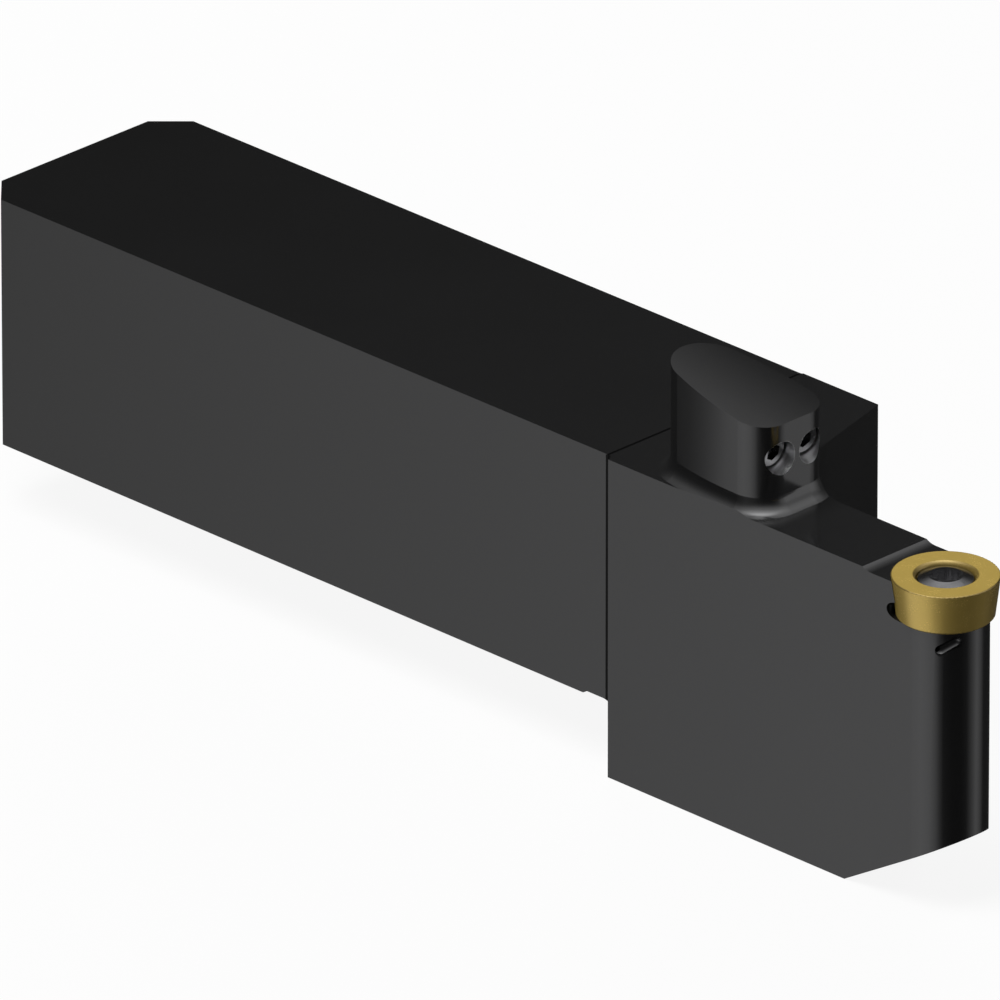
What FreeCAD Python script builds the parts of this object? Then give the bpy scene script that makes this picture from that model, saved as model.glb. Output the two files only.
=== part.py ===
import FreeCAD, Part
import os

import Sketcher

# Turning tool holder with a square shank, a screw-clamped round insert and internal coolant.
# Millimetres. The origin is on the shank's seating face, at its rear end and mid-width.
# +X points to the cutting end, +Z is up, and the cutting side is -Y.

DIMENSIONS = [
    # shank
    ("shank_width", 25.0),
    ("shank_height", 25.0),
    ("rear_chamfer", 3.0),
    ("shoulder_radius", 1.0),
    ("overall_length", 127.0),
    # head: its length, and how far it stands out of the shank's faces
    ("head_length", 43.8),
    ("head_stand_out", 0.9),
    ("head_rise", 0.1),
    ("head_drop", 6.9),
    ("head_side_length", 9.0),
    ("side_wall_angle", 15.0),
    ("side_wall_radius", 11.0),
    ("heel_relief_length", 4.1),
    ("heel_relief_depth", 0.3),
    ("heel_relief_radius", 1.5),
    ("heel_relief_angle", 30.0),
    # nose that carries the insert
    ("nose_width", 8.3),
    ("tip_setback", 1.0),
    ("nose_relief_length", 13.55),
    ("nose_relief_angle", 30.0),
    ("deck_drop", 0.3),
    ("deck_length", 5.4),
    ("deck_radius", 2.0),
    # insert and its pocket
    ("insert_diameter", 10.0),
    ("insert_thickness", 3.97),
    ("clearance_angle", 7.0),
    ("insert_edge_radius", 0.1),
    ("insert_foot_chamfer", 0.18),
    ("insert_hole_diameter", 4.4),
    ("insert_mouth_diameter", 6.0),
    ("insert_mouth_radius", 0.6),
    ("insert_seat_depth", 0.5),
    ("pocket_gap", 0.05),
    ("pocket_relief_height", 1.7),
    ("pocket_relief_depth", 0.7),
    # insert screw
    ("screw_diameter", 3.5),
    ("screw_head_diameter", 5.15),
    ("screw_cone_angle", 30.0),
    ("screw_head_rim", 0.25),
    ("screw_head_sink", 0.35),
    ("screw_dome_rise", 0.3),
    ("screw_length", 8.2),
    ("screw_gap", 0.05),
    ("screw_point", 0.5),
    ("screw_hole_spare", 1.5),
    ("star_core_diameter", 2.55),
    ("star_lobe_diameter", 0.8),
    ("star_lobe_circle", 2.45),
    ("star_depth", 1.5),
    # coolant boss on top of the head
    ("boss_width", 9.3),
    ("boss_length", 14.6),
    ("boss_setback", 19.85),
    ("boss_offset", 1.05),
    ("boss_height", 8.64),
    ("boss_slope", 9.4),
    ("boss_crown_radius", 60.0),
    ("boss_side_radius", 39.0),
    ("boss_corner_radius", 3.0),
    ("boss_foot_radius", 1.7),
    # coolant jets
    ("jet_bore_diameter", 3.2),
    ("jet_spacing", 3.8),
    ("jet_rise", 5.25),
    ("jet_recess", 1.15),
    ("jet_length", 3.0),
    ("jet_gap", 0.02),
    ("jet_chamfer", 0.2),
    ("jet_orifice_diameter", 0.9),
    ("jet_hex_width", 1.5),
    ("jet_hex_depth", 0.9),
    # coolant drillings
    ("inlet_diameter", 8.566),
    ("inlet_depth", 9.0),
    ("inlet_chamfer", 0.5),
    ("gallery_diameter", 5.0),
    ("riser_diameter", 5.0),
    ("riser_setback", 7.5),
    ("riser_roof", 1.9),
    ("jet_feed_diameter", 2.0),
    ("nose_feed_diameter", 1.5),
    ("nose_feed_height", 4.0),
    ("outlet_hole_diameter", 0.5),
    ("outlet_hole_length", 3.5),
    ("outlet_angle", 40.5),
    ("outlet_drop", 5.4),
    ("outlet_slope", 29.0),
    ("outlet_length", 2.7),
    ("outlet_width", 1.15),
    # plug of the inlet in the underside
    ("plug_diameter", 7.4),
    ("plug_length", 6.0),
    ("plug_recess", 0.6),
    ("plug_gap", 0.02),
    ("plug_chamfer", 0.6),
    ("plug_hex_width", 4.0),
    ("plug_hex_depth", 3.2),
    # how far cutting profiles reach past the metal
    ("reach", 5.0),
]

# Places worked out from the sheet, as expressions.
HALF_WIDTH = "(dims.shank_width / 2)"
SHANK_END = "(dims.overall_length - dims.head_length)"
TOP = "(dims.shank_height + dims.head_rise)"
NEAR_FACE = f"(-{HALF_WIDTH} - dims.head_stand_out)"
NOSE_RADIUS = "(dims.nose_width / 2)"
NOSE_Y = f"({NEAR_FACE} + {NOSE_RADIUS})"
NOSE_FAR = f"({NEAR_FACE} + dims.nose_width)"
NOSE_X = f"(dims.overall_length - dims.tip_setback - {NOSE_RADIUS})"
INSERT_RADIUS = "(dims.insert_diameter / 2)"
INSERT_X = f"(dims.overall_length - {INSERT_RADIUS})"
SEAT_Z = f"({TOP} - dims.insert_thickness)"
DECK_Z = f"({TOP} - dims.deck_drop)"
BOSS_Y = f"({NOSE_Y} + dims.boss_offset)"
BOSS_FRONT = f"({INSERT_X} - dims.boss_setback)"
JET_Z = f"({TOP} + dims.jet_rise)"
RISER_X = f"({BOSS_FRONT} - dims.riser_setback)"
RISER_TOP = f"({TOP} + dims.boss_height + dims.riser_setback * tan(dims.boss_slope) - dims.riser_roof)"

doc = FreeCAD.newDocument("turning_tool_holder")


def make_sheet():
    sheet = doc.addObject("Spreadsheet::Sheet", "dims")
    for row, (alias, value) in enumerate(DIMENSIONS, start=1):
        sheet.set(f"A{row}", alias)
        sheet.set(f"B{row}", str(value))
        sheet.setAlias(f"B{row}", alias)
    doc.recompute()
    return sheet


def number(expression):
    """Value of a sheet expression, as a plain number."""
    value = dims.evalExpression(expression)
    return float(getattr(value, "Value", value))


def new_body(label):
    body = doc.addObject("PartDesign::Body", label)
    body.Label = label
    doc.recompute()
    return body


def origin_plane(body, role):
    return next(plane for plane in body.Origin.OriginFeatures if plane.Role == role)


def new_sketch(body, name, role, offset=None):
    sketch = body.newObject("Sketcher::SketchObject", name)
    sketch.AttachmentSupport = [(origin_plane(body, role), "")]
    sketch.MapMode = "FlatFace"
    if offset:
        sketch.setExpression("AttachmentOffset", offset)
    return sketch


def pin_point(sketch, edge, end, x, y):
    """Ties one end of an edge to its place, given as expressions."""
    for kind, axis, expression in (("DistanceX", -2, x), ("DistanceY", -1, y)):
        if expression == "0":
            sketch.addConstraint(Sketcher.Constraint("PointOnObject", edge, end, axis))
            continue
        index = sketch.addConstraint(Sketcher.Constraint(kind, edge, end, number(expression)))
        sketch.setExpression(f"Constraints[{index}]", expression)


def arc_between(start, end, radius, turn):
    """Arc under 180 degrees from start to end; turn is +1 to the left and -1 to the right."""
    middle = (start + end) / 2
    chord = end - start
    across = FreeCAD.Vector(-chord.y, chord.x, 0).normalize() * turn
    centre = middle + across * max(radius ** 2 - (chord.Length / 2) ** 2, 0) ** 0.5
    crest = centre + (middle - across * radius - centre).normalize() * radius
    return Part.Arc(start, crest, end)


def add_outline(sketch, points, arcs=None):
    """Closed outline. points are (x, y) expressions; arcs maps an edge to (radius, turn)."""
    arcs = arcs or {}
    places = [FreeCAD.Vector(number(x), number(y), 0) for x, y in points]
    first = sketch.GeometryCount
    count = len(points)
    starts = []
    for edge in range(count):
        start, end = places[edge], places[(edge + 1) % count]
        if edge in arcs:
            radius, turn = arcs[edge]
            shape = arc_between(start, end, number(radius), turn)
            starts.append(1 if turn > 0 else 2)
        else:
            shape = Part.LineSegment(start, end)
            starts.append(1)
        sketch.addGeometry(shape, False)
    for edge in range(count):
        after = (edge + 1) % count
        sketch.addConstraint(
            Sketcher.Constraint("Coincident", first + edge, 3 - starts[edge], first + after, starts[after]))
    for edge, (x, y) in enumerate(points):
        pin_point(sketch, first + edge, starts[edge], x, y)
    for edge, (radius, turn) in arcs.items():
        index = sketch.addConstraint(Sketcher.Constraint("Radius", first + edge, number(radius)))
        sketch.setExpression(f"Constraints[{index}]", radius)
    return sketch


def add_circle(sketch, x, y, radius):
    circle = Part.Circle(FreeCAD.Vector(number(x), number(y), 0), FreeCAD.Vector(0, 0, 1), number(radius))
    edge = sketch.addGeometry(circle, False)
    pin_point(sketch, edge, 3, x, y)
    index = sketch.addConstraint(Sketcher.Constraint("Radius", edge, number(radius)))
    sketch.setExpression(f"Constraints[{index}]", radius)
    return sketch


def add_hexagon(sketch, width):
    """Regular hexagon about the sketch's origin, by its width across flats."""
    points = []
    for corner in range(6):
        angle = 60 * corner
        points.append((f"({width} / 2 / cos(30) * cos({angle}))", f"({width} / 2 / cos(30) * sin({angle}))"))
    points[0] = (points[0][0], "0")
    points[3] = (points[3][0], "0")
    return add_outline(sketch, points)


def pad(body, name, sketch, length):
    feature = body.newObject("PartDesign::Pad", name)
    feature.Profile = sketch
    feature.setExpression("Length", length)
    doc.recompute()
    return feature


def cut_through(body, name, sketch):
    """Cuts the sketch's area out of the whole body, both ways."""
    feature = body.newObject("PartDesign::Pocket", name)
    feature.Profile = sketch
    feature.Type = "ThroughAll"
    feature.SideType = "Symmetric"
    return must_cut(body, feature)


def cut_down(body, name, sketch, depth):
    """Cuts the sketch's area to a depth against the sketch's normal."""
    feature = body.newObject("PartDesign::Pocket", name)
    feature.Profile = sketch
    feature.setExpression("Length", depth)
    return must_cut(body, feature)


def must_cut(body, feature):
    before = feature.BaseFeature.Shape.Volume
    doc.recompute()
    if feature.Shape.Volume >= before:
        raise RuntimeError(f"{feature.Name} cuts nothing")
    return feature


def turned(body, name, points, arcs=None):
    """Solid of revolution about the body's Z axis, from an outline of (radius, height)."""
    sketch = add_outline(new_sketch(body, f"{name}_profile", "XZ_Plane"), points, arcs)
    feature = body.newObject("PartDesign::Revolution", name)
    feature.Profile = sketch
    feature.ReferenceAxis = (sketch, ["V_Axis"])
    feature.Angle = 360
    doc.recompute()
    return feature


def drill(body, name, diameter, depth, place):
    """Round hole that starts at place and runs along its +Z."""
    feature = body.newObject("PartDesign::SubtractiveCylinder", name)
    feature.AttachmentSupport = [(origin_plane(body, "XY_Plane"), "")]
    feature.MapMode = "FlatFace"
    feature.setExpression("Radius", f"{diameter} / 2")
    feature.setExpression("Height", depth)
    feature.setExpression("AttachmentOffset", place)
    return must_cut(body, feature)


def hollow_ball(body, name, diameter, place):
    """Round hollow about a place, as the end of a ball-nosed cut."""
    feature = body.newObject("PartDesign::SubtractiveSphere", name)
    feature.AttachmentSupport = [(origin_plane(body, "XY_Plane"), "")]
    feature.MapMode = "FlatFace"
    feature.setExpression("Radius", f"{diameter} / 2")
    feature.setExpression("AttachmentOffset", place)
    return must_cut(body, feature)


def at(x, y, z, yaw="0", pitch="0"):
    """Placement whose +Z is tipped by pitch towards +X and then swung by yaw about Z."""
    return f"placement(vector({x}; {y}; {z}); rotation({yaw}; {pitch}; 0))"


def along(place, distance):
    return f"{place} * placement(vector(0; 0; {distance}); rotation(0; 0; 0))"


def jet_axis(side):
    """Where a jet leaves the boss, with +Z aimed at the insert's foremost cutting point."""
    y = f"({BOSS_Y} + {side} * dims.jet_spacing / 2)"
    reach = f"(dims.overall_length - {BOSS_FRONT})"
    yaw = f"atan(({NOSE_Y} - {y}) / {reach})"
    pitch = f"90 deg + atan(dims.jet_rise / {reach} * cos({yaw}))"
    return at(BOSS_FRONT, y, JET_Z, yaw, pitch)


def add_bar(body):
    """Blank that the shank, the head and the nose are cut from."""
    sketch = new_sketch(body, "bar_outline", "XY_Plane", at("0", "0", "-dims.head_drop"))
    side = f"({HALF_WIDTH} + dims.reach)"
    end = "(dims.overall_length + dims.reach)"
    add_outline(sketch, [("0", f"-{side}"), (end, f"-{side}"), (end, side), ("0", side)])
    pad(body, "bar", sketch, "dims.shank_height + dims.head_drop")


def boss_outline():
    """Bullet-shaped plan: bowed sides, a round rear end and two rounded front corners."""
    corner = "dims.boss_corner_radius"
    side = "dims.boss_side_radius"
    half = "(dims.boss_width / 2)"
    span = f"(dims.boss_length - {corner})"
    rear_radius = f"((2 * {side} * {half} - {half}^2 - {span}^2) / (2 * ({side} - {span})))"
    share = f"({rear_radius} / ({side} - {rear_radius}))"
    bow_x = f"({BOSS_FRONT} - {corner})"
    join_x = f"({bow_x} - ({span} - {rear_radius}) * (1 + {share}))"
    join_y = f"(({side} - {half}) * {share})"
    points = [
        (join_x, f"({BOSS_Y} - {join_y})"),
        (bow_x, f"({BOSS_Y} - {half})"),
        (BOSS_FRONT, f"({BOSS_Y} - {half} + {corner})"),
        (BOSS_FRONT, f"({BOSS_Y} + {half} - {corner})"),
        (bow_x, f"({BOSS_Y} + {half})"),
        (join_x, f"({BOSS_Y} + {join_y})"),
    ]
    arcs = {0: (side, 1), 1: (corner, 1), 3: (corner, 1), 4: (side, 1), 5: (rear_radius, 1)}
    return points, arcs


def add_boss(body):
    """Coolant boss with its rounded foot and its crowned, sloping top."""
    sketch = new_sketch(body, "boss_outline", "XY_Plane", at("0", "0", "dims.shank_height"))
    add_outline(sketch, *boss_outline())
    tallest = "(dims.head_rise + dims.boss_height + dims.boss_length * tan(dims.boss_slope))"
    boss = pad(body, "boss", sketch, f"{tallest} + dims.reach / 5")

    level = number("dims.shank_height")
    box = sketch.Shape.BoundBox
    box.enlarge(0.01)
    foot = [f"Edge{i}" for i, edge in enumerate(boss.Shape.Edges, start=1)
            if box.isInside(edge.BoundBox) and abs(edge.BoundBox.ZMax - level) < 0.001]
    fillet = body.newObject("PartDesign::Fillet", "boss_foot")
    fillet.Base = (boss, foot)
    fillet.setExpression("Radius", "dims.boss_foot_radius")
    doc.recompute()

    ridge = (f"placement(vector({BOSS_Y}; {TOP} + dims.boss_height; {BOSS_FRONT});"
             " rotation(vector(1; 0; 0); dims.boss_slope))")
    crown = new_sketch(body, "boss_crown_profile", "YZ_Plane", ridge)
    half = "(dims.boss_width / 2 + dims.boss_foot_radius + dims.reach / 5)"
    fall = f"(sqrt(dims.boss_crown_radius^2 - {half}^2) - dims.boss_crown_radius)"
    above = "(2 * dims.reach)"
    points = [(half, fall), (f"-{half}", fall), (f"-{half}", above), (half, above)]
    add_outline(crown, points, {0: ("dims.boss_crown_radius", 1)})
    cut_through(body, "boss_crown", crown)


def add_head_top(body):
    """Thin land that lifts the head above the ground shank and buries the foot's lowest edge."""
    sketch = new_sketch(body, "head_top_outline", "XY_Plane", at("0", "0", "dims.shank_height"))
    side = f"({HALF_WIDTH} + dims.reach)"
    end = "(dims.overall_length + dims.reach)"
    add_outline(sketch, [("0", f"-{side}"), (end, f"-{side}"), (end, side), ("0", side)])
    pad(body, "head_top", sketch, "dims.head_rise")


def plan_outline():
    """Outline of the whole holder from above."""
    shoulder = "dims.shoulder_radius"
    shoulder_x = f"({SHANK_END} - {shoulder})"
    shoulder_end = f"({shoulder_x} + sqrt({shoulder}^2 - ({shoulder} - dims.head_stand_out)^2))"
    wall_x = f"({SHANK_END} + dims.head_side_length)"
    meet_x = f"({wall_x} + ({HALF_WIDTH} - {NOSE_FAR}) * tan(dims.side_wall_angle))"
    tangent = "(dims.side_wall_radius * tan(45 - dims.side_wall_angle / 2))"
    points = [
        ("0", f"(-{HALF_WIDTH} + dims.rear_chamfer)"),
        ("dims.rear_chamfer", f"-{HALF_WIDTH}"),
        (shoulder_x, f"-{HALF_WIDTH}"),
        (shoulder_end, NEAR_FACE),
        (NOSE_X, NEAR_FACE),
        (f"({NOSE_X} + {NOSE_RADIUS})", NOSE_Y),
        (NOSE_X, NOSE_FAR),
        (f"({meet_x} + {tangent})", NOSE_FAR),
        (f"({meet_x} - {tangent} * sin(dims.side_wall_angle))",
         f"({NOSE_FAR} + {tangent} * cos(dims.side_wall_angle))"),
        (wall_x, HALF_WIDTH),
        ("dims.rear_chamfer", HALF_WIDTH),
        ("0", f"({HALF_WIDTH} - dims.rear_chamfer)"),
    ]
    arcs = {2: (shoulder, -1), 4: (NOSE_RADIUS, 1), 5: (NOSE_RADIUS, 1), 7: ("dims.side_wall_radius", -1)}
    return points, arcs


def cut_plan(body):
    """Takes away all that lies outside the plan outline, and trims the boss's foot with it."""
    sketch = new_sketch(body, "plan_outline", "XY_Plane")
    side = f"({HALF_WIDTH} + 2 * dims.reach)"
    end = "(dims.overall_length + 2 * dims.reach)"
    rear = "(-dims.reach)"
    add_outline(sketch, [(rear, f"-{side}"), (end, f"-{side}"), (end, side), (rear, side)])
    add_outline(sketch, *plan_outline())
    cut_through(body, "plan_cut", sketch)


def cut_shank_faces(body):
    """Top and underside of the shank, each with the corner that the cutter leaves at the head."""
    rear = "(-dims.reach)"
    shoulder = "dims.shoulder_radius"
    shoulder_x = f"({SHANK_END} - {shoulder})"
    shoulder_end = f"({shoulder_x} + sqrt({shoulder}^2 - ({shoulder} - dims.head_rise)^2))"
    above = f"({TOP} + dims.reach)"
    top = new_sketch(body, "shank_top_profile", "XZ_Plane")
    add_outline(top, [(rear, "dims.shank_height"), (shoulder_x, "dims.shank_height"), (shoulder_end, TOP),
                      (shoulder_end, above), (rear, above)], {1: (shoulder, 1)})
    cut_through(body, "shank_top", top)

    heel = f"({SHANK_END} - dims.heel_relief_length)"
    corner = "dims.heel_relief_radius"
    corner_x = f"({SHANK_END} - {corner})"
    below = "(-dims.head_drop - dims.reach)"
    underside = new_sketch(body, "shank_underside_profile", "XZ_Plane")
    points = [
        (rear, "0"),
        (rear, below),
        (SHANK_END, below),
        (SHANK_END, f"(dims.heel_relief_depth - {corner})"),
        (corner_x, "dims.heel_relief_depth"),
        (f"({heel} + dims.heel_relief_depth / tan(dims.heel_relief_angle))", "dims.heel_relief_depth"),
        (heel, "0"),
    ]
    add_outline(underside, points, {3: (corner, 1)})
    cut_through(body, "shank_underside", underside)


def cut_nose(body):
    """Sloping underside of the nose and the lowered deck behind the insert."""
    start = "(dims.overall_length - dims.nose_relief_length)"
    end = "(dims.overall_length + dims.reach)"
    below = "(-dims.head_drop - dims.reach)"
    relief = new_sketch(body, "nose_relief_profile", "XZ_Plane")
    add_outline(relief, [(start, "-dims.head_drop"), (start, below), (end, below),
                         (end, f"(-dims.head_drop + ({end} - {start}) * tan(dims.nose_relief_angle))")])
    cut_through(body, "nose_relief", relief)

    corner = "dims.deck_radius"
    deck_x = f"({INSERT_X} - dims.deck_length)"
    ramp_x = f"({deck_x} - sqrt({corner}^2 - ({corner} - dims.deck_drop)^2))"
    above = f"({TOP} + 1)"
    deck = new_sketch(body, "deck_profile", "XZ_Plane")
    add_outline(deck, [(ramp_x, TOP), (deck_x, DECK_Z), (end, DECK_Z), (end, above), (ramp_x, above)],
                {0: (corner, 1)})
    cut_through(body, "deck", deck)


def cut_insert_pocket(body):
    """Conical pocket with a round relief in its floor corner, and the screw's threaded hole."""
    slope = "tan(dims.clearance_angle)"
    half_chord = "(dims.pocket_relief_height / 2 / cos(dims.clearance_angle))"
    relief = f"(({half_chord}^2 + dims.pocket_relief_depth^2) / (2 * dims.pocket_relief_depth))"
    centre = f"placement(vector({INSERT_X}; 0; -{NOSE_Y}); rotation(0; 0; 0))"

    def wall(height):
        return f"({INSERT_RADIUS} + dims.pocket_gap - ({TOP} - {height}) * {slope})"

    relief_top = f"({SEAT_Z} + dims.pocket_relief_height)"
    above = f"({TOP} + 1)"
    profile = new_sketch(body, "insert_pocket_profile", "XZ_Plane", centre)
    points = [("0", SEAT_Z), (wall(SEAT_Z), SEAT_Z), (wall(relief_top), relief_top), (wall(above), above),
              ("0", above)]
    add_outline(profile, points, {1: (relief, 1)})
    pocket = body.newObject("PartDesign::Groove", "insert_pocket")
    pocket.Profile = profile
    pocket.ReferenceAxis = (profile, ["V_Axis"])
    pocket.Angle = 360
    must_cut(body, pocket)

    mouth = at(INSERT_X, NOSE_Y, f"{SEAT_Z} + dims.reach", "0", "180")
    in_metal = "(dims.screw_length - dims.insert_thickness + dims.screw_head_sink + dims.screw_hole_spare)"
    drill(body, "insert_screw_hole", "(dims.screw_diameter)", f"dims.reach + {in_metal}", mouth)


def drill_coolant(body):
    """Rear inlet, slanted gallery, riser, two jet bores and the outlet under the insert."""
    into_shank = at("0", "0", "dims.shank_height / 2", "0", "90")
    drill(body, "rear_inlet", "dims.inlet_diameter", "dims.inlet_depth", into_shank)
    rim = new_sketch(body, "rear_inlet_rim", "XZ_Plane")
    radius = "(dims.inlet_diameter / 2)"
    middle = "(dims.shank_height / 2)"
    add_outline(rim, [("0", middle), ("dims.inlet_chamfer", middle),
                      ("dims.inlet_chamfer", f"({middle} + {radius})"),
                      ("0", f"({middle} + {radius} + dims.inlet_chamfer)")])
    chamfer = body.newObject("PartDesign::Groove", "rear_inlet_chamfer")
    chamfer.Profile = rim
    chamfer.ReferenceAxis = (rim, ["Edge1"])
    chamfer.Angle = 360
    must_cut(body, chamfer)

    run = f"sqrt({RISER_X}^2 + {BOSS_Y}^2)"
    gallery = at("0", "0", "dims.shank_height / 2", f"atan({BOSS_Y} / {RISER_X})", "90")
    drill(body, "gallery", "dims.gallery_diameter", run, gallery)

    from_below = at(RISER_X, BOSS_Y, "-dims.head_drop")
    drill(body, "riser", "dims.riser_diameter", f"{RISER_TOP} + dims.head_drop", from_below)
    drill(body, "plug_hole", "dims.plug_diameter", "dims.plug_recess + dims.plug_length", from_below)

    for name, side in (("near", -1), ("far", 1)):
        axis = jet_axis(side)
        depth = "(dims.jet_recess + dims.jet_length)"
        floor = along(axis, f"-{depth}")
        drill(body, f"{name}_jet_bore", "dims.jet_bore_diameter", f"{depth} + dims.reach", floor)
        feed = "(dims.riser_setback + dims.jet_feed_diameter / 2)"
        drill(body, f"{name}_jet_feed", "dims.jet_feed_diameter", feed, along(axis, f"-{feed}"))

    # the outlet is a short round-ended groove that guides the jet up the nose, fed in its lower end
    swing = "dims.outlet_angle"
    level = f"({TOP} - dims.outlet_drop)"
    skin_x = f"({NOSE_X} + {NOSE_RADIUS} * cos({swing}))"
    skin_y = f"({NOSE_Y} - {NOSE_RADIUS} * sin({swing}))"
    skin = at(skin_x, skin_y, level, f"90 - {swing}", "90 - dims.outlet_slope")
    back = "((dims.outlet_length - dims.outlet_width) / 2)"
    low_end = along(skin, f"-{back}")
    drill(body, "nose_outlet", "dims.outlet_width", f"(2 * {back})", low_end)
    hollow_ball(body, "nose_outlet_low_end", "dims.outlet_width", low_end)
    hollow_ball(body, "nose_outlet_high_end", "dims.outlet_width", along(skin, back))

    flat = f"({back} * cos(dims.outlet_slope))"
    foot_x = f"({skin_x} - {flat} * sin({swing}))"
    foot_y = f"({skin_y} - {flat} * cos({swing}))"
    foot_z = f"({level} - {back} * sin(dims.outlet_slope) + dims.outlet_width / 4)"
    run_x = f"({foot_x} - {RISER_X})"
    run_y = f"({BOSS_Y} - {foot_y})"
    run_z = f"({foot_z} - dims.nose_feed_height)"
    flat_run = f"sqrt({run_x}^2 + {run_y}^2)"
    yaw = f"180 deg - atan({run_y} / {run_x})"
    pitch = f"90 deg + atan({run_z} / {flat_run})"
    feed = at(foot_x, foot_y, foot_z, yaw, pitch)
    thin_run = "dims.outlet_hole_length + dims.nose_feed_diameter"
    drill(body, "outlet_hole", "dims.outlet_hole_diameter", thin_run, feed)
    length = f"(sqrt({flat_run}^2 + {run_z}^2) - dims.outlet_hole_length)"
    drill(body, "nose_feed", "dims.nose_feed_diameter", length, along(feed, "dims.outlet_hole_length"))


def make_holder_body():
    body = new_body("holder_body")
    add_bar(body)
    add_boss(body)
    add_head_top(body)
    cut_plan(body)
    cut_shank_faces(body)
    cut_nose(body)
    cut_insert_pocket(body)
    drill_coolant(body)
    return body


def screw_cone(height, gap="0"):
    """Radius of the screw head's cone at a height above the pocket floor, plus a gap."""
    rim = "(dims.insert_thickness - dims.screw_head_sink - dims.screw_head_rim)"
    return f"(dims.screw_head_diameter / 2 - ({rim} - {height}) * tan(dims.screw_cone_angle) + {gap})"


def make_insert():
    """Round insert; its flank leans in under the cutting edge and its hole seats the screw."""
    body = new_body("insert")
    body.setExpression("Placement", at(INSERT_X, NOSE_Y, SEAT_Z))
    hole = "(dims.insert_hole_diameter / 2)"
    chamfer = "dims.insert_foot_chamfer"
    foot = f"({INSERT_RADIUS} - (dims.insert_thickness - {chamfer}) * tan(dims.clearance_angle))"
    edge = "(dims.insert_edge_radius * tan(45 + dims.clearance_angle / 2))"
    seat_z = "(dims.insert_thickness - dims.insert_seat_depth)"
    seat = screw_cone(seat_z, "dims.screw_gap")
    neck_z = f"({seat_z} - ({seat} - {hole}) / tan(dims.screw_cone_angle))"
    points = [
        (hole, "0"),
        (f"({foot} - {chamfer})", "0"),
        (foot, chamfer),
        (f"({INSERT_RADIUS} - {edge} * sin(dims.clearance_angle))",
         f"(dims.insert_thickness - {edge} * cos(dims.clearance_angle))"),
        (f"({INSERT_RADIUS} - {edge})", "dims.insert_thickness"),
        ("(dims.insert_mouth_diameter / 2)", "dims.insert_thickness"),
        (seat, seat_z),
        (hole, neck_z),
    ]
    arcs = {3: ("dims.insert_edge_radius", 1), 5: ("dims.insert_mouth_radius", 1)}
    turned(body, "insert_blank", points, arcs)
    return body


def make_insert_screw():
    """Clamp screw with a cone under its low domed head and a six-lobed socket."""
    body = new_body("insert_screw")
    body.setExpression("Placement", at(INSERT_X, NOSE_Y, SEAT_Z))
    shank = "(dims.screw_diameter / 2 - dims.screw_gap)"
    head = "(dims.screw_head_diameter / 2)"
    rim_top = "(dims.insert_thickness - dims.screw_head_sink)"
    rim_low = f"({rim_top} - dims.screw_head_rim)"
    neck = f"({rim_low} - ({head} - {shank}) / tan(dims.screw_cone_angle))"
    crest = f"({rim_top} + dims.screw_dome_rise)"
    mouth = "(dims.star_lobe_circle / 2 + dims.star_lobe_diameter / 2)"
    tip = f"({rim_top} - dims.screw_length)"
    points = [("0", tip), (f"({shank} - dims.screw_point)", tip), (shank, f"({tip} + dims.screw_point)"),
              (shank, neck), (head, rim_low), (head, rim_top), (mouth, crest), ("0", crest)]
    turned(body, "screw_blank", points)

    top = at("0", "0", crest)
    core = new_sketch(body, "star_core_outline", "XY_Plane", top)
    add_circle(core, "0", "0", "(dims.star_core_diameter / 2)")
    cut_down(body, "star_core", core, "dims.star_depth")
    lobe = add_circle(new_sketch(body, "star_lobe_outline", "XY_Plane", top),
                      "(dims.star_lobe_circle / 2)", "0", "(dims.star_lobe_diameter / 2)")
    cut = cut_down(body, "star_lobe", lobe, "dims.star_depth")
    lobes = body.newObject("PartDesign::PolarPattern", "star_lobes")
    lobes.Originals = [cut]
    lobes.Axis = (lobe, ["N_Axis"])
    lobes.Angle = 360
    lobes.Occurrences = 6
    body.Tip = lobes
    doc.recompute()
    return body


def make_jet(label, side):
    """Screw-in jet; its own origin is where its axis leaves the boss, and +Z is the jet's way."""
    body = new_body(label)
    body.setExpression("Placement", jet_axis(side))
    outside = "(dims.jet_bore_diameter / 2 - dims.jet_gap)"
    orifice = "(dims.jet_orifice_diameter / 2)"
    front = "-dims.jet_recess"
    rear = "(-dims.jet_recess - dims.jet_length)"
    face = f"({outside} - dims.jet_chamfer)"
    points = [(orifice, rear), (face, rear), (outside, f"({rear} + dims.jet_chamfer)"),
              (outside, f"({front} - dims.jet_chamfer)"), (face, front), (orifice, front)]
    turned(body, f"{label}_blank", points)
    hexagon = new_sketch(body, f"{label}_hexagon", "XY_Plane", at("0", "0", front))
    add_hexagon(hexagon, "dims.jet_hex_width")
    cut_down(body, f"{label}_socket", hexagon, "dims.jet_hex_depth")
    return body


def make_inlet_plug():
    """Screw plug in the underside inlet; its own origin is at the head's underside."""
    body = new_body("inlet_plug")
    body.setExpression("Placement", at(RISER_X, BOSS_Y, "-dims.head_drop"))
    outside = "(dims.plug_diameter / 2 - dims.plug_gap)"
    bottom = "dims.plug_recess"
    top = "(dims.plug_recess + dims.plug_length)"
    points = [("0", bottom), (f"({outside} - dims.plug_chamfer)", bottom),
              (outside, f"({bottom} + dims.plug_chamfer)"), (outside, top), ("0", top)]
    turned(body, "plug_blank", points)
    socket_top = at("0", "0", f"({bottom} + dims.plug_hex_depth)")
    hexagon = add_hexagon(new_sketch(body, "plug_hexagon", "XY_Plane", socket_top), "dims.plug_hex_width")
    cut_down(body, "plug_socket", hexagon, "dims.plug_hex_depth + dims.plug_chamfer")
    return body


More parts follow.
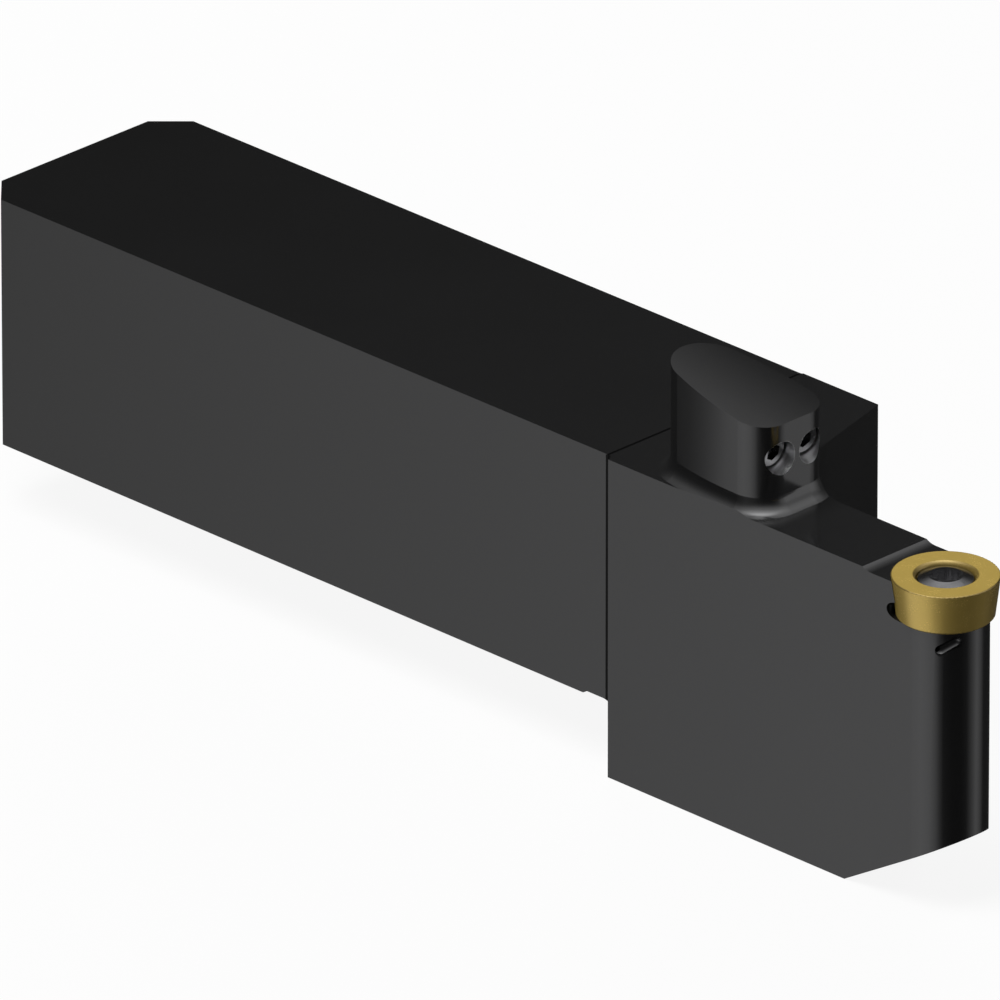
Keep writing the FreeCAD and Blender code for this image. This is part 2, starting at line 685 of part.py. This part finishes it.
def check_and_export(bodies):
    doc.recompute()
    for item in doc.Objects:
        if "Invalid" in item.State or "Error" in item.State:
            raise RuntimeError(f"{item.Name} failed: {item.State}")
    for body in bodies:
        shape = body.Shape
        if shape.isNull() or not shape.isValid() or len(shape.Solids) != 1:
            raise RuntimeError(f"{body.Label} is not one valid solid")
    os.makedirs("parts", exist_ok=True)
    for body in bodies:
        body.Shape.exportStep(f"parts/{body.Label}.step")
        box = body.Shape.BoundBox
        print(f"{body.Label}: {body.Shape.Volume:.1f} mm3, {box}")


dims = make_sheet()
check_and_export([
    make_holder_body(),
    make_insert(),
    make_insert_screw(),
    make_jet("near_jet", -1),
    make_jet("far_jet", 1),
    make_inlet_plug(),
])
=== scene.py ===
import math

import bpy
from mathutils import Matrix, Vector


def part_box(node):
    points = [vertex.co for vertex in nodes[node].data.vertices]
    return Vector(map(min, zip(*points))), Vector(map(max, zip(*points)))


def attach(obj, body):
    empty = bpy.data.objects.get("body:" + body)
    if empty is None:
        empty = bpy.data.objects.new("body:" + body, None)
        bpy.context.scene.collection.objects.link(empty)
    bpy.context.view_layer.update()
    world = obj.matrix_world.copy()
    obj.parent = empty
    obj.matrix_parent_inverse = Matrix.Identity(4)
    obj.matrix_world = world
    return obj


# Looks of the turning tool holder. Metres, in the frame of the CAD part: +X along the shank to the cutting
# end, +Z up, -Y to the side that cuts.

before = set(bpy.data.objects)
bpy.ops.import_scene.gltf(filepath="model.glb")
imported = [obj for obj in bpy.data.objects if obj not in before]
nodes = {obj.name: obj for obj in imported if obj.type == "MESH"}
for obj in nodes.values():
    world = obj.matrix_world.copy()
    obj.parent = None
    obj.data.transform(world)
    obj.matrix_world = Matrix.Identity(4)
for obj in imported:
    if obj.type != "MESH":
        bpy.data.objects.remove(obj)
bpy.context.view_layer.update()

scene = bpy.context.scene
scene.view_settings.view_transform = "Standard"

TARGET = Vector((0.058898, -0.003010, 0.009606))
CAMERA_DISTANCE = 2.79114
CAMERA_LENS = 1093.8
SENSOR_WIDTH = 36
CLIP_END = 20
AZIMUTH = math.radians(45)
ELEVATION = math.radians(25)

FLOOR_GAP = 0.00002
FLOOR_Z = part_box("holder_body")[0].z - FLOOR_GAP
FLOOR_REACH = 3.0

TOOL_LENGTH = 0.127
SHANK_TOP = 0.025
SHANK_NEAR_SIDE = -0.0125
SHANK_AXIS_Z = 0.0125
SHOULDER_X = 0.08225
JET_BORE_RADIUS = 0.001604
JET_FACE_RADIUS = 0.00138
STAR_RADIUS = 0.00166
STAR_DEPTH = 0.0017


# node helpers
def tree_of(owner):
    owner.use_nodes = True
    tree = owner.node_tree
    tree.nodes.clear()
    return tree


def add(tree, kind, inputs=None, **settings):
    """A node with its settings; each input is a plain value or another node's output."""
    node = tree.nodes.new(kind)
    for name, value in settings.items():
        setattr(node, name, value)
    for name, value in (inputs or {}).items():
        socket = node.inputs[name]
        if isinstance(value, bpy.types.NodeSocket):
            tree.links.new(value, socket)
        else:
            socket.default_value = value
    return node


def maths(tree, operation, a, b=0.0, c=0.0):
    return add(tree, "ShaderNodeMath", {0: a, 1: b, 2: c}, operation=operation).outputs[0]


def times(tree, a, b):
    return maths(tree, "MULTIPLY", a, b)


def vector_maths(tree, operation, *vectors):
    """The difference of two vectors as a vector, or their dot product or a length as a number."""
    node = add(tree, "ShaderNodeVectorMath", dict(enumerate(vectors)), operation=operation)
    return node.outputs["Vector" if operation == "SUBTRACT" else "Value"]


def split(tree, vector):
    return add(tree, "ShaderNodeSeparateXYZ", {0: vector}).outputs


def remap(tree, value, low, high, to_low=0.0, to_high=1.0, smooth=False):
    kind = "SMOOTHSTEP" if smooth else "LINEAR"
    node = add(tree, "ShaderNodeMapRange",
               {"Value": value, "From Min": low, "From Max": high, "To Min": to_low, "To Max": to_high},
               interpolation_type=kind)
    return node.outputs["Result"]


def noise(tree, vector, scale, detail):
    node = add(tree, "ShaderNodeTexNoise", {"Vector": vector, "Scale": scale, "Detail": detail})
    return node.outputs["Fac"]


def spread(tree, noise_value, to_low=0.0, to_high=1.0):
    """The range in which most of a noise's values lie, spread over another range."""
    return remap(tree, noise_value, 0.3, 0.7, to_low, to_high)


def grey(value):
    return (value, value, value, 1)


def ramp(tree, factor, stops):
    """Grey by a factor from 0 to 1, from (place, value) stops."""
    node = add(tree, "ShaderNodeValToRGB", {"Fac": factor})
    elements = node.color_ramp.elements
    for element, (place, value) in zip(elements, stops[:2]):
        element.position = place
        element.color = grey(value)
    for place, value in stops[2:]:
        elements.new(place).color = grey(value)
    return node.outputs["Color"]


def mix_color(tree, factor, a, b, blend="MIX"):
    return add(tree, "ShaderNodeMix", {0: factor, 6: a, 7: b}, data_type="RGBA", blend_type=blend).outputs[2]


# materials
def start_material(name):
    """A material, its empty tree, and the place on the object, which turns with the piece."""
    material = bpy.data.materials.new(name)
    tree = tree_of(material)
    return material, tree, add(tree, "ShaderNodeTexCoord").outputs["Object"]


def finish_material(tree, tint, rough, metal, height, strength, distance):
    bump = add(tree, "ShaderNodeBump", {"Strength": strength, "Distance": distance, "Height": height})
    shader = add(tree, "ShaderNodeBsdfPrincipled", {
        "Base Color": tint, "Roughness": rough, "Metallic": metal, "Normal": bump.outputs["Normal"]})
    add(tree, "ShaderNodeOutputMaterial", {"Surface": shader.outputs["BSDF"]})


def inside_bores(tree, position, bores):
    """1 within any of the round bores, each given as (point on the axis, axis, radius, from, to); from and to
    are measured along the axis from the point."""
    found = None
    for point, axis, radius, first, last in bores:
        offset = vector_maths(tree, "SUBTRACT", position, point)
        along = vector_maths(tree, "DOT_PRODUCT", offset, axis)
        total = vector_maths(tree, "LENGTH", offset)
        squares = [times(tree, value, value) for value in (total, along)]
        near = maths(tree, "LESS_THAN", maths(tree, "SUBTRACT", *squares), radius ** 2)
        between = maths(tree, "COMPARE", along, (first + last) / 2, (last - first) / 2)
        inside = times(tree, near, between)
        found = inside if found is None else maths(tree, "MAXIMUM", found, inside)
    return found


def jet_bores(radius):
    """The two jet bores, from the jets' own places; each looks at the insert's foremost point."""
    behind, ahead = -0.004, 0.01
    low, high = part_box("insert")
    tip = Vector((high.x, (low.y + high.y) / 2, high.z))
    bores = []
    for node in ("near_jet", "far_jet"):
        low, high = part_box(node)
        middle = (low + high) / 2
        bores.append((middle, (tip - middle).normalized(), radius, behind, ahead))
    return bores


def shoulder_shade_line(tree, position, shoulder_x):
    """1 on the thin line where the ground shank meets the head, on its top and on its near side, where shade
    is painted black.
    """
    skin = 0.00005
    top_middle, top_half, side_half = shoulder_x + 0.0001, 0.0002, 0.00025
    along, across, above = split(tree, position)
    on_top = maths(tree, "GREATER_THAN", above, SHANK_TOP - skin)
    below_top = maths(tree, "SUBTRACT", 1.0, on_top)
    on_side = times(tree, maths(tree, "LESS_THAN", across, SHANK_NEAR_SIDE + skin), below_top)
    top_line = times(tree, maths(tree, "COMPARE", along, top_middle, top_half), on_top)
    side_line = times(tree, maths(tree, "COMPARE", along, shoulder_x, side_half), on_side)
    return maths(tree, "MAXIMUM", top_line, side_line)


def blackened_steel(name, bores=(), shoulder_x=None):
    """Dark oxide over ground steel: cloudy tint, painted shade that darkens the tint towards the rear and
    lightens it towards the head, fine lay along the shank, edge wear that is partly a painted edge highlight,
    bare walls in the bores that are also a painted highlight, and a black line of painted shade at the
    shoulder."""
    # Painted shade and light: the first grey is the shaded rear, the second the lighter head.
    painted_shade_rear, painted_light_front = grey(0.034), (0.062, 0.062, 0.063, 1)
    patch, speck = (0.075, 0.075, 0.077, 1), (0.09, 0.09, 0.092, 1)
    # A light grey for edge wear that is partly a painted edge highlight, black for painted shade at the
    # shoulder, and a pale grey for bare steel that also paints a highlight in the bores.
    worn_highlit_edge, shoulder_shade_black, bare_highlit_wall = grey(0.18), grey(0.004), (0.75, 0.75, 0.76, 1)
    edge_radius = 0.00008
    metal = 0.78
    material, tree, position = start_material(name)
    cloud = noise(tree, position, 70, 4)
    grain = noise(tree, position, 5200, 2)
    stretched = add(tree, "ShaderNodeMapping", {"Vector": position, "Scale": (60, 2600, 2600)})
    lay = noise(tree, stretched.outputs["Vector"], 1.0, 2)
    along = split(tree, position)["X"]
    # Painted shade: the tint runs from darker at the rear to lighter at the head, as the light falls along
    # the tool.
    tint = mix_color(tree, remap(tree, along, 0.0, TOOL_LENGTH), painted_shade_rear, painted_light_front)
    tint = mix_color(tree, spread(tree, cloud, 0.0, 0.08), tint, patch)
    tint = mix_color(tree, remap(tree, grain, 0.35, 0.65, 0.0, 0.06), tint, speck)
    # Edge wear and painted edge highlight: edges are lightened where the rounded normal leaves the flat one.
    rounded = add(tree, "ShaderNodeBevel", {"Radius": edge_radius}, samples=4).outputs["Normal"]
    flat = add(tree, "ShaderNodeNewGeometry").outputs["Normal"]
    edge = remap(tree, vector_maths(tree, "DOT_PRODUCT", rounded, flat), 1.0, 0.75)
    wear_and_edge_highlight = times(tree, edge, remap(tree, cloud, 0.35, 0.65, 0.05, 0.20))
    tint = mix_color(tree, wear_and_edge_highlight, tint, worn_highlit_edge)
    rough = maths(tree, "ADD", spread(tree, cloud, 0.14, 0.16), spread(tree, grain, -0.02, 0.02))
    # Painted shade: a black, fully metallic line along the shoulder's crease.
    if shoulder_x:
        painted_shade_line = shoulder_shade_line(tree, position, shoulder_x)
        tint = mix_color(tree, painted_shade_line, tint, shoulder_shade_black)
        metal = maths(tree, "MAXIMUM", painted_shade_line, metal)
    # Bare steel in the jet bores, made pale as a painted highlight where the walls would otherwise reflect
    # the opposite wall.
    if bores:
        highlit_wall = inside_bores(tree, position, bores)
        tint = mix_color(tree, highlit_wall, tint, bare_highlit_wall)
        rough = maths(tree, "MULTIPLY_ADD", highlit_wall, 0.16, rough)
        metal = maths(tree, "MULTIPLY_ADD", highlit_wall, 0.20, metal)
    height = maths(tree, "ADD", times(tree, grain, 0.6), times(tree, lay, 0.5))
    finish_material(tree, tint, rough, metal, height, strength=0.03, distance=0.00002)
    return material


def gold_carbide():
    """Gold-coloured coating on sintered carbide, with painted shade on the honed edge and inside the hole's
    mouth that dims their highlights.
    """
    dull, bright = (0.735, 0.52, 0.124, 1), (0.765, 0.545, 0.134, 1)
    # The last colour is painted shade.
    speck, shade = (0.62, 0.43, 0.10, 1), (0.10, 0.07, 0.02, 1)
    edge_start, edge_full = 0.00486, 0.00492
    hone_depth, hone_full = 0.00014, 0.00009
    mouth_radius, mouth_full = 0.00308, 0.00295
    material, tree, position = start_material("gold_carbide")
    cloud = noise(tree, position, 500, 4)
    grain = noise(tree, position, 9000, 2)
    low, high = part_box("insert")
    tint = mix_color(tree, spread(tree, cloud), dull, bright)
    tint = mix_color(tree, remap(tree, grain, 0.35, 0.7, 0.0, 0.05), tint, speck)
    x, y, z = split(tree, vector_maths(tree, "SUBTRACT", position, (low + high) / 2))
    radius = maths(tree, "SQRT", maths(tree, "ADD", times(tree, x, x), times(tree, y, y)))
    from_top = maths(tree, "SUBTRACT", (high.z - low.z) / 2, z)
    # Painted shade: the tint darkens on the honed edge and inside the hole's mouth, dimming their highlights.
    edge = remap(tree, radius, edge_start, edge_full)
    honed_edge_shade = times(tree, edge, remap(tree, from_top, hone_depth, hone_full))
    mouth_shade = remap(tree, radius, mouth_radius, mouth_full)
    dark = maths(tree, "MAXIMUM", times(tree, honed_edge_shade, 0.7), times(tree, mouth_shade, 0.72))
    tint = mix_color(tree, dark, tint, shade)
    rough = maths(tree, "ADD", spread(tree, cloud, 0.24, 0.27), spread(tree, grain, -0.02, 0.02))
    finish_material(tree, tint, rough, 0.37, grain, strength=0.015, distance=0.00001)
    return material


def turned_steel(name, greys, roughness, sockets=(), faces=()):
    """Thinly blackened steel of the screws: fine turning grain, walls in the sockets lightened as a painted
    highlight and, where faces are given, dark rims around them as painted shade."""
    dark, bright = [(value, value, value * 1.03, 1) for value in greys]
    # The pale grey paints a highlight on socket walls; the near black paints shade around the jets' faces.
    painted_socket_highlight, painted_rim_shade = (0.42, 0.42, 0.43, 1), grey(0.008)
    metal = 1.0
    material, tree, position = start_material(name)
    cloud = noise(tree, position, 900, 3)
    grain = noise(tree, position, 8000, 2)
    tint = mix_color(tree, spread(tree, cloud), dark, bright)
    rough = spread(tree, grain, *roughness)
    # Painted highlight: the socket's walls are paler and glossier than the rest of the screw.
    if sockets:
        highlit_wall = inside_bores(tree, position, sockets)
        tint = mix_color(tree, highlit_wall, tint, painted_socket_highlight)
        rough = maths(tree, "MULTIPLY_ADD", highlit_wall, -0.09, rough)
        metal = maths(tree, "SUBTRACT", metal, times(tree, highlit_wall, 0.05))
    # Painted shade: the jet is near black outside its face, in the gap inside the bore.
    if faces:
        tint = mix_color(tree, inside_bores(tree, position, faces), painted_rim_shade, tint)
    finish_material(tree, tint, rough, metal, grain, strength=0.05, distance=0.00001)
    return material


def star_socket():
    """The screw's six-lobed socket as a bore, open at the top."""
    low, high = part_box("insert_screw")
    top = Vector(((low.x + high.x) / 2, (low.y + high.y) / 2, high.z))
    below_rim = 0.00002
    return top, Vector((0, 0, 1)), STAR_RADIUS, -STAR_DEPTH, -below_rim


def dress(node, material):
    mesh = nodes[node].data
    mesh.materials.clear()
    mesh.materials.append(material)


dress("holder_body", blackened_steel("blackened_steel", jet_bores(JET_BORE_RADIUS), SHOULDER_X))
dress("insert", gold_carbide())
dress("insert_screw", turned_steel("screw_steel", (0.18, 0.24), (0.20, 0.26), sockets=[star_socket()]))
jet_steel = turned_steel("jet_steel", (0.14, 0.18), (0.22, 0.28), faces=jet_bores(JET_FACE_RADIUS))
dress("near_jet", jet_steel)
dress("far_jet", jet_steel)
dress("inlet_plug", blackened_steel("plug_steel"))


# thread of the coolant inlet
def make_inlet_thread():
    """The pipe thread's ridge: a right-hand helix along +X on the bore's wall, faded out at both ends."""
    root, crest = 0.00430, 0.00402
    pitch, turns, steps = 0.000907, 8, 72
    first = 0.0010
    half_foot, half_crest = 0.40 * pitch, 0.06 * pitch
    end_height, growth = 0.02, 2
    corners, faces = [], []
    for step in range(turns * steps + 1):
        turn = step / steps
        angle = 2 * math.pi * turn
        fade = min(1.0, end_height + turn * growth, end_height + (turns - turn) * growth)
        top = root - (root - crest) * fade
        middle = first + pitch * turn
        for x, r in ((-half_foot, root), (-half_crest, top), (half_crest, top), (half_foot, root)):
            corners.append((middle + x, r * math.cos(angle), SHANK_AXIS_Z + r * math.sin(angle)))
        if step:
            here, before = 4 * step, 4 * step - 4
            for k in range(4):
                following = (k + 1) % 4
                faces.append((before + k, before + following, here + following, here + k))
    last = 4 * turns * steps
    faces += [(3, 2, 1, 0), (last, last + 1, last + 2, last + 3)]
    mesh = bpy.data.meshes.new("inlet_thread")
    mesh.from_pydata(corners, [], faces)
    mesh.validate()
    mesh.update()
    piece = bpy.data.objects.new("inlet_thread", mesh)
    scene.collection.objects.link(piece)
    mesh.materials.append(turned_steel("thread_steel", (0.12, 0.16), (0.22, 0.28)))
    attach(piece, "holder")


make_inlet_thread()


# stage
def make_floor():
    """White to the camera, with the tool's soft shadow, and darker to the light that it sends back."""
    seen_glow = 0.9
    mesh = bpy.data.meshes.new("studio_floor")
    corners = [(x * FLOOR_REACH, y * FLOOR_REACH, FLOOR_Z) for x, y in ((-1, -1), (1, -1), (1, 1), (-1, 1))]
    mesh.from_pydata(corners, [], [(0, 1, 2, 3)])
    floor = bpy.data.objects.new("studio_floor", mesh)
    scene.collection.objects.link(floor)
    material = bpy.data.materials.new("floor_white")
    tree = tree_of(material)
    seen = add(tree, "ShaderNodeLightPath").outputs["Is Camera Ray"]
    paint = add(tree, "ShaderNodeBsdfDiffuse", {"Color": mix_color(tree, seen, grey(0.15), grey(0.95))})
    glow = add(tree, "ShaderNodeEmission", {"Color": grey(1.0), "Strength": 1.0})
    mix = add(tree, "ShaderNodeMixShader", {
        0: times(tree, seen, seen_glow), 1: paint.outputs[0], 2: glow.outputs[0]})
    add(tree, "ShaderNodeOutputMaterial", {"Surface": mix.outputs[0]})
    mesh.materials.append(material)
    floor.visible_glossy = False


def around(tree, turn, stops):
    """Brightness by the direction's turn about Z, from (degrees, value) stops."""
    return ramp(tree, turn, [(degrees / 360, value) for degrees, value in stops])


def sine(degrees):
    return math.sin(math.radians(degrees))


def upward(tree, z, stops, reach=1.0):
    """Brightness by the direction's height, from (degrees, value) stops, up to where z is reach."""
    places = [(min(1.0, sine(degrees) / reach), value) for degrees, value in stops]
    return ramp(tree, remap(tree, z, 0.0, reach), places)


def rise(tree, z, low, high, to_low=0.0, to_high=1.0):
    """From one value at a lower height to another at an upper one, both heights in degrees."""
    return remap(tree, z, sine(low), sine(high), to_low, to_high)


def make_world():
    """White for the camera, soft light for paint, and the soft boxes and dark flags that gloss shows.

    Gloss shows bands by height: under up to 29 degrees below the horizon, low up to 20 degrees below it,
    level up to the horizon, where it begins to fade, then the open sky and, overhead, a box on the camera's
    side.
    """
    paint_light = grey(0.06)
    sky_reach = 0.6
    box_edge = (-0.12, 0.20)
    world = bpy.data.worlds.new("studio")
    scene.world = world
    tree = tree_of(world)
    x, y, z = split(tree, add(tree, "ShaderNodeTexCoord").outputs["Generated"])
    turn = maths(tree, "DIVIDE", maths(tree, "ARCTAN2", y, x), 2 * math.pi)
    turn = maths(tree, "FRACT", maths(tree, "ADD", turn, 1.0))
    under = around(tree, turn, [
        (0, 0.05), (30, 0.06), (55, 0.06), (90, 0.05), (115, 0.08), (170, 0.08), (192, 0.05), (209, 0.22),
        (225, 0.90), (240, 1.05), (268, 1.00), (290, 0.45), (312, 0.14), (335, 0.05), (360, 0.05)])
    low = around(tree, turn, [
        (0, 0.04), (14, 0.08), (28, 0.42), (45, 0.88), (58, 0.50), (72, 0.06), (98, 0.03), (120, 0.03),
        (170, 0.05), (188, 0.03), (200, 0.05), (212, 0.30), (225, 0.98), (253, 1.20), (276, 1.10),
        (294, 0.70), (302, 0.34), (313, 0.06), (335, 0.03), (360, 0.04)])
    level = around(tree, turn, [
        (0, 0.08), (15, 0.28), (35, 1.20), (50, 1.30), (65, 0.80), (85, 0.15), (110, 0.03), (165, 0.03),
        (200, 0.02), (230, 0.02), (265, 0.22), (295, 0.14), (320, 0.05), (345, 0.05), (360, 0.08)])
    open_sky = around(tree, turn, [
        (0, 0.8), (40, 0.95), (75, 0.7), (112, 0.05), (155, 0.05), (190, 0.3), (225, 0.45), (300, 0.9),
        (360, 0.8)])
    near_level = upward(tree, z, [(0, 0.0), (8, 0.03), (20, 0.24), (27, 0.62), (37, 1.05)], sky_reach)
    high = upward(tree, z, [(0, 0.0), (30, 0.0), (38, 0.22), (46, 0.55), (51, 0.95), (90, 1.0)])
    overhead = upward(tree, z, [(0, 0.0), (51, 0.0), (64, 1.35), (71, 2.85), (78, 4.05), (90, 4.6)])
    toward_camera = times(tree, maths(tree, "SUBTRACT", x, y), math.sqrt(0.5))
    overhead = mix_color(tree, remap(tree, toward_camera, *box_edge, smooth=True), grey(0.0), overhead)
    high = mix_color(tree, 1.0, high, overhead, "ADD")
    sky = mix_color(tree, 1.0, mix_color(tree, 1.0, near_level, open_sky, "MULTIPLY"), high, "ADD")
    faded_level = mix_color(tree, rise(tree, z, 8, 30, 1.0, 0.25), grey(0.0), level)
    above = mix_color(tree, 1.0, faded_level, sky, "ADD")
    view = mix_color(tree, rise(tree, z, -31, -27), under, low)
    view = mix_color(tree, rise(tree, z, -23, -18), view, level)
    view = mix_color(tree, rise(tree, z, 0, 8), view, above)
    path = add(tree, "ShaderNodeLightPath")
    soft = mix_color(tree, path.outputs["Is Glossy Ray"], paint_light, view)
    final = mix_color(tree, path.outputs["Is Camera Ray"], soft, grey(1.0))
    background = add(tree, "ShaderNodeBackground", {"Color": final, "Strength": 1.0})
    add(tree, "ShaderNodeOutputWorld", {"Surface": background.outputs[0]})


def area_light(name, offset, size, power):
    """A soft lamp that shines on the target and that neither camera nor gloss sees."""
    data = bpy.data.lights.new(name, "AREA")
    data.shape = "RECTANGLE"
    data.size, data.size_y = size
    data.energy = power
    light = bpy.data.objects.new(name, data)
    light.location = TARGET + Vector(offset)
    light.rotation_euler = (TARGET - light.location).to_track_quat("-Z", "Y").to_euler()
    light.visible_camera = False
    light.visible_glossy = False
    scene.collection.objects.link(light)


def make_camera():
    right = Vector((math.cos(AZIMUTH), math.sin(AZIMUTH), 0))
    back = Vector((math.sin(AZIMUTH) * math.cos(ELEVATION), -math.cos(AZIMUTH) * math.cos(ELEVATION),
                   math.sin(ELEVATION)))
    up = back.cross(right)
    data = bpy.data.cameras.new("photo_camera")
    data.type = "PERSP"
    data.sensor_width = SENSOR_WIDTH
    data.lens = CAMERA_LENS
    data.clip_end = CLIP_END
    camera = bpy.data.objects.new("photo_camera", data)
    turn = Matrix((right, up, back)).transposed().to_4x4()
    camera.matrix_world = Matrix.Translation(TARGET + back * CAMERA_DISTANCE) @ turn
    scene.collection.objects.link(camera)
    scene.camera = camera


make_floor()
make_world()
area_light("key_light", offset=(-0.08, -0.38, 0.92), size=(0.6, 0.6), power=8.5)
area_light("back_light", offset=(-0.75, 0.75, 0.05), size=(0.6, 0.3), power=20.0)
make_camera()
